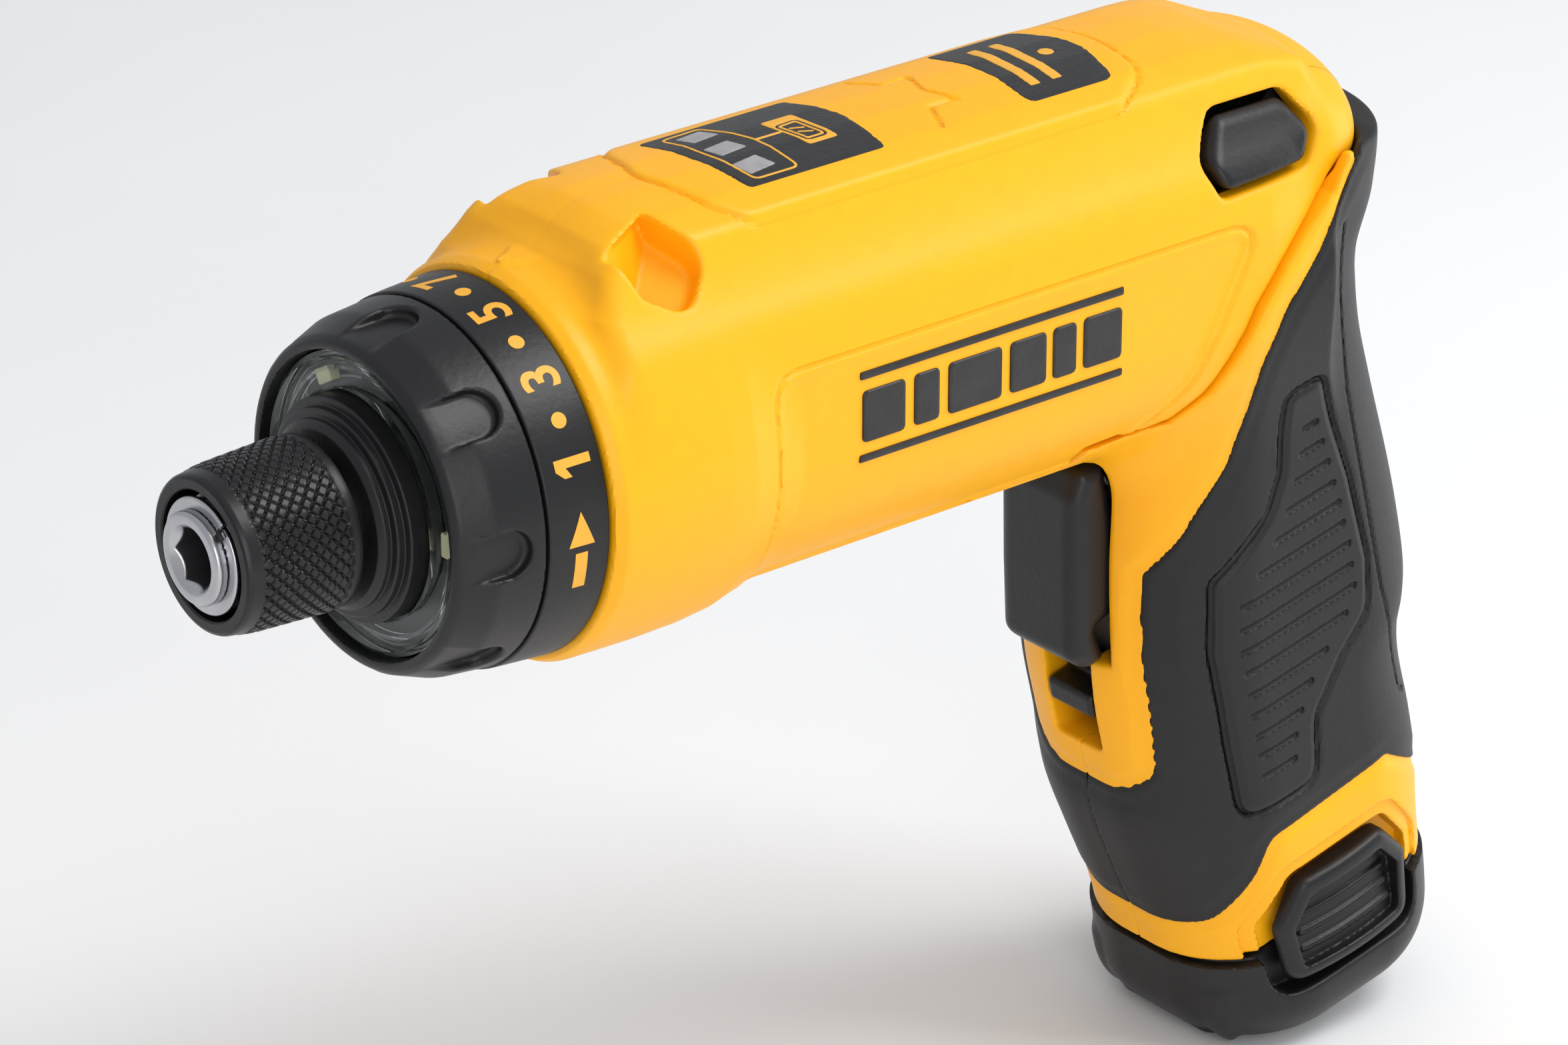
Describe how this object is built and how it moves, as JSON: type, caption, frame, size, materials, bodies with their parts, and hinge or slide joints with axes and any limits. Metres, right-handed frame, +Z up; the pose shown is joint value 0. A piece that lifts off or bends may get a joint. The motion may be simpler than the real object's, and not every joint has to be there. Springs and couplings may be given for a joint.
{
  "type": "cordless drill",
  "caption": "Two-position cordless drill and screwdriver with a folding pistol handle, torque collar, quick-release hexagonal chuck and slide-in battery.",
  "frame": {"origin": "mouth of the bit socket, on the spindle axis", "axes": "+X the way the bit points, +Z up, +Y the tool's left side"},
  "size_m": [0.1869, 0.0488, 0.1426],
  "materials": {
    "yellow_shell": "moulded yellow glass-filled plastic, fine satin texture",
    "black_rubber": "moulded black soft-touch rubber, satin",
    "black_plastic": "moulded black plastic, fine texture",
    "black_steel": "black oxide steel, knurled",
    "bright_steel": "machined steel",
    "lens": "clear moulded lens",
    "board": "green solder mask with white print",
    "brass": "sintered bronze and brass",
    "label": "dark grey label, satin",
    "cell_wrap": "shrink-wrapped cell"
  },
  "bodies": {
    "handle": {"handle_shell_left": "yellow_shell", "handle_shell_right": "yellow_shell", "grip_overmould_left": "black_rubber", "grip_overmould_right": "black_rubber", "hinge_web": "black_plastic", "switch_module": "black_plastic", "control_board": "board", "terminal_block": "black_plastic", "handle_screws": "bright_steel", "trigger_spring": "bright_steel"},
    "trigger": {"trigger": "black_plastic"},
    "lock_off": {"lock_off_slider": "black_plastic"},
    "pack": {"pack_stem": "black_plastic", "pack_cap": "black_plastic", "cells": "cell_wrap"},
    "latch_left": {"pack_latch_left": "black_plastic"},
    "latch_right": {"pack_latch_right": "black_plastic"},
    "barrel": {"barrel_shell_left": "yellow_shell", "barrel_shell_right": "yellow_shell", "barrel_screws": "bright_steel", "hinge_pin": "bright_steel", "top_labels": "label", "level_board": "board", "side_badges": "label", "gear_case": "bright_steel", "nose_cone": "black_plastic", "front_bushing": "brass", "lens_ring": "lens", "light_board": "board", "clutch_spring": "bright_steel", "clutch_plate": "bright_steel", "clutch_pins": "bright_steel", "ring_gear_clutch": "bright_steel", "ring_gear_fixed": "bright_steel", "motor_plate": "bright_steel", "motor_can": "bright_steel", "motor_end_cap": "black_plastic"},
    "release_left": {"release_button_left": "black_plastic"},
    "release_right": {"release_button_right": "black_plastic"},
    "pawl_left": {"lock_pawl_left": "bright_steel"},
    "pawl_right": {"lock_pawl_right": "bright_steel"},
    "collar": {"collar_grip": "black_plastic", "number_ring": "black_plastic"},
    "clutch_nut": {"clutch_nut": "black_plastic"},
    "rotor": {"motor_armature": "brass", "motor_shaft": "bright_steel", "motor_pinion": "brass"},
    "carrier_first": {"carrier_first": "bright_steel"},
    "planet_first_a": {"planet_first_a": "bright_steel"},
    "planet_first_b": {"planet_first_b": "bright_steel"},
    "planet_first_c": {"planet_first_c": "bright_steel"},
    "spindle": {"spindle": "bright_steel", "output_carrier": "bright_steel", "retaining_ring": "bright_steel", "sleeve_spring": "bright_steel"},
    "planet_second_a": {"planet_second_a": "bright_steel"},
    "planet_second_b": {"planet_second_b": "bright_steel"},
    "planet_second_c": {"planet_second_c": "bright_steel"},
    "sleeve": {"chuck_sleeve": "black_steel"},
    "bit_ball": {"bit_ball": "bright_steel"}
  },
  "joints": [
    {"name": "handle_fold", "type": "hinge", "parent": "handle", "child": "barrel", "pos_m": [-0.156, 0, 0.016], "axis": [0, -1, 0], "range_deg": [0, 77.5]},
    {"name": "trigger_pull", "type": "slide", "parent": "handle", "child": "trigger", "axis": [-0.9763, 0, 0.2164], "range_m": [0, 0.0042], "stiffness_N_per_m": 900, "springref_m": -0.004, "deforming": ["trigger_spring"]},
    {"name": "lock_off_slide", "type": "slide", "parent": "handle", "child": "lock_off", "axis": [0.2164, 0, 0.9763], "range_m": [-0.002, 0.0022]},
    {"name": "pack_slide", "type": "slide", "parent": "handle", "child": "pack", "axis": [-0.2164, 0, -0.9763], "range_m": [0, 0.075]},
    {"name": "latch_left_press", "type": "slide", "parent": "pack", "child": "latch_left", "axis": [0, -1, 0], "range_m": [0, 0.0015], "stiffness_N_per_m": 1500, "springref_m": -0.002},
    {"name": "latch_right_press", "type": "slide", "parent": "pack", "child": "latch_right", "axis": [0, 1, 0], "range_m": [0, 0.0015], "stiffness_N_per_m": 1500, "springref_m": -0.002},
    {"name": "release_left_press", "type": "slide", "parent": "barrel", "child": "release_left", "axis": [0, -1, 0], "range_m": [0, 0.002], "stiffness_N_per_m": 800, "springref_m": -0.003},
    {"name": "release_right_press", "type": "slide", "parent": "barrel", "child": "release_right", "axis": [0, 1, 0], "range_m": [0, 0.002], "stiffness_N_per_m": 800, "springref_m": -0.003},
    {"name": "pawl_left_lift", "type": "slide", "parent": "barrel", "child": "pawl_left", "axis": [1, 0, 0], "range_m": [0, 0.0018]},
    {"name": "pawl_right_lift", "type": "slide", "parent": "barrel", "child": "pawl_right", "axis": [1, 0, 0], "range_m": [0, 0.0018]},
    {"name": "collar_turn", "type": "hinge", "parent": "barrel", "child": "collar", "pos_m": [-0.032, 0, 0], "axis": [1, 0, 0], "range_deg": [-90, 78.75]},
    {"name": "clutch_nut_travel", "type": "slide", "parent": "barrel", "child": "clutch_nut", "axis": [1, 0, 0], "range_m": [-0.0024, 0.0021], "deforming": ["clutch_spring"]},
    {"name": "rotor_spin", "type": "hinge", "parent": "barrel", "child": "rotor", "pos_m": [-0.09, 0, 0], "axis": [1, 0, 0], "continuous": true},
    {"name": "carrier_first_spin", "type": "hinge", "parent": "barrel", "child": "carrier_first", "pos_m": [-0.06, 0, 0], "axis": [1, 0, 0], "continuous": true},
    {"name": "spindle_spin", "type": "hinge", "parent": "barrel", "child": "spindle", "pos_m": [0, 0, 0], "axis": [1, 0, 0], "continuous": true},
    {"name": "planet_second_a_spin", "type": "hinge", "parent": "spindle", "child": "planet_second_a", "pos_m": [-0.0547, 0, 0.0096], "axis": [1, 0, 0], "continuous": true},
    {"name": "planet_first_a_spin", "type": "hinge", "parent": "carrier_first", "child": "planet_first_a", "pos_m": [-0.0636, 0, 0.0096], "axis": [1, 0, 0], "continuous": true},
    {"name": "planet_second_b_spin", "type": "hinge", "parent": "spindle", "child": "planet_second_b", "pos_m": [-0.0547, 0.00831, -0.0048], "axis": [1, 0, 0], "continuous": true},
    {"name": "planet_first_b_spin", "type": "hinge", "parent": "carrier_first", "child": "planet_first_b", "pos_m": [-0.0636, 0.00831, -0.0048], "axis": [1, 0, 0], "continuous": true},
    {"name": "planet_second_c_spin", "type": "hinge", "parent": "spindle", "child": "planet_second_c", "pos_m": [-0.0547, -0.00831, -0.0048], "axis": [1, 0, 0], "continuous": true},
    {"name": "planet_first_c_spin", "type": "hinge", "parent": "carrier_first", "child": "planet_first_c", "pos_m": [-0.0636, -0.00831, -0.0048], "axis": [1, 0, 0], "continuous": true},
    {"name": "sleeve_pull", "type": "slide", "parent": "spindle", "child": "sleeve", "axis": [1, 0, 0], "range_m": [0, 0.0035], "stiffness_N_per_m": 900, "springref_m": -0.004, "deforming": ["sleeve_spring"]},
    {"name": "ball_lift", "type": "slide", "parent": "spindle", "child": "bit_ball", "axis": [0, 0, 1], "range_m": [0, 0.0007]}
  ],
  "couplings": [
    {"joint": "pawl_left_lift", "follows": "release_left_press", "ratio": 0.9},
    {"joint": "pawl_right_lift", "follows": "release_right_press", "ratio": 0.9},
    {"joint": "clutch_nut_travel", "follows": "collar_turn", "m_per_rad": 0.0015},
    {"joint": "carrier_first_spin", "follows": "rotor_spin", "ratio": 0.25},
    {"joint": "spindle_spin", "follows": "rotor_spin", "ratio": 0.0625},
    {"joint": "planet_second_a_spin", "follows": "rotor_spin", "ratio": -0.1875},
    {"joint": "planet_first_a_spin", "follows": "rotor_spin", "ratio": -0.75},
    {"joint": "planet_second_b_spin", "follows": "rotor_spin", "ratio": -0.1875},
    {"joint": "planet_first_b_spin", "follows": "rotor_spin", "ratio": -0.75},
    {"joint": "planet_second_c_spin", "follows": "rotor_spin", "ratio": -0.1875},
    {"joint": "planet_first_c_spin", "follows": "rotor_spin", "ratio": -0.75},
    {"joint": "ball_lift", "follows": "sleeve_pull", "ratio": 0.19}
  ]
}
